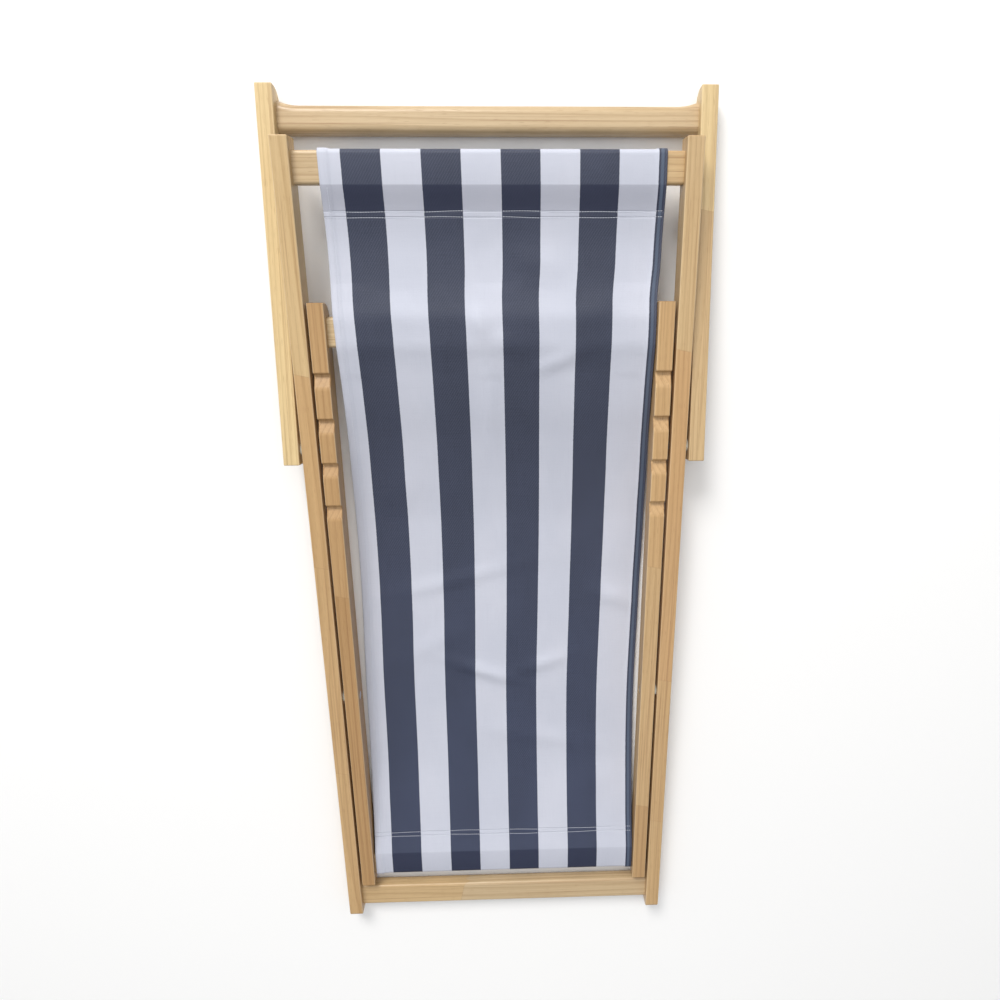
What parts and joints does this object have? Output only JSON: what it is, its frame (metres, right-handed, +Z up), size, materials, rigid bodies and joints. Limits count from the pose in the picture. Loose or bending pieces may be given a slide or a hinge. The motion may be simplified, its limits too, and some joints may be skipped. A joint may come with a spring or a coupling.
{
  "type": "deckchair",
  "caption": "Folding wooden deckchair with a striped cloth sling on two hinged frames, and a prop frame whose bar drops into notches to set the back angle.",
  "frame": {"origin": "middle of the folded chair's footprint, on the floor", "axes": "+Z up from the floor to the sling's front, +Y along the chair from its feet to its head, +X to the chair's right as seen from its feet"},
  "size_m": [0.592, 1.2956, 0.0822],
  "materials": {
    "varnished_wood": "clear satin varnish on pale pine",
    "dowel_wood": "plain beech",
    "zinc_steel": "bright zinc plate",
    "nylon": "black nylon",
    "striped_canvas": "woven navy and white stripes"
  },
  "bodies": {
    "long_frame": {"long_rail_left": "varnished_wood", "long_rail_right": "varnished_wood", "head_rail": "varnished_wood", "foot_rail": "varnished_wood", "long_frame_dowels": "dowel_wood", "long_frame_screws": "zinc_steel", "cross_pivot_bolts": "zinc_steel", "cross_pivot_nuts": "zinc_steel", "prop_pivot_bolts": "zinc_steel", "prop_pivot_nuts": "zinc_steel", "cross_pivot_spacers": "nylon", "prop_pivot_spacers": "nylon", "sling": "striped_canvas"},
    "notched_frame": {"notched_rail_left": "varnished_wood", "notched_rail_right": "varnished_wood", "rear_rail": "varnished_wood", "knee_rail": "varnished_wood", "notched_frame_dowels": "dowel_wood", "notched_frame_screws": "zinc_steel"},
    "prop_frame": {"prop_rail_left": "varnished_wood", "prop_rail_right": "varnished_wood", "prop_bar": "varnished_wood", "prop_frame_dowels": "dowel_wood", "prop_frame_screws": "zinc_steel"}
  },
  "joints": [
    {"name": "fold", "type": "hinge", "parent": "long_frame", "child": "notched_frame", "pos_m": [0, -0.21771, 0.03376], "axis": [-1, 0, 0], "range_deg": [0, 78.6], "deforming": ["sling"]},
    {"name": "prop", "type": "hinge", "parent": "long_frame", "child": "prop_frame", "pos_m": [0, 0.18197, 0.04958], "axis": [-1, 0, 0], "range_deg": [0, 129]}
  ]
}
